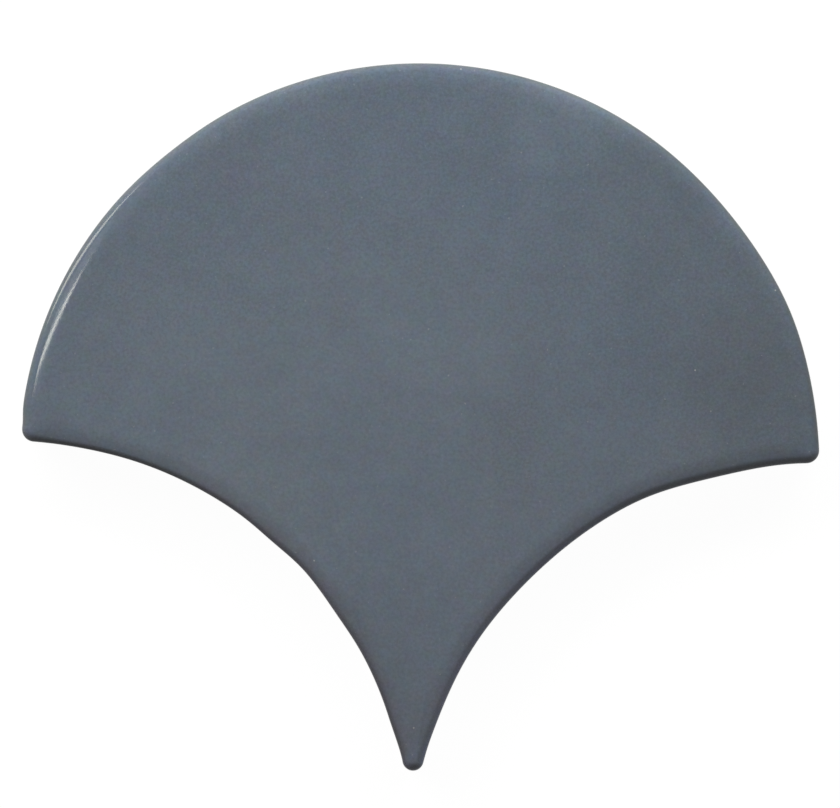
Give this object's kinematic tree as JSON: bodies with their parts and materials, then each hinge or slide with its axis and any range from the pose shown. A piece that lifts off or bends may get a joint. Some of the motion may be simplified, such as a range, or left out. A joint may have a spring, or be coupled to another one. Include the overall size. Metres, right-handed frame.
{
  "type": "tile",
  "caption": "Fish scale wall tile with a round head, two hollow flanks and a narrow tip, glazed slate blue on a pillowed face, with a ribbed back",
  "frame": {"origin": "centre of the head's arc, on the plane of the back that lies on the wall or the floor", "axes": "+Z leaves the glazed face, +Y points at the top of the round head and away from the tip, +X points at the right-hand corner as the face is seen"},
  "size_m": [0.1198, 0.1059, 0.009],
  "materials": {
    "glaze": "semi-gloss slate blue glaze over a pale fired body"
  },
  "bodies": {
    "root": {"tile": "glaze"}
  },
  "joints": []
}
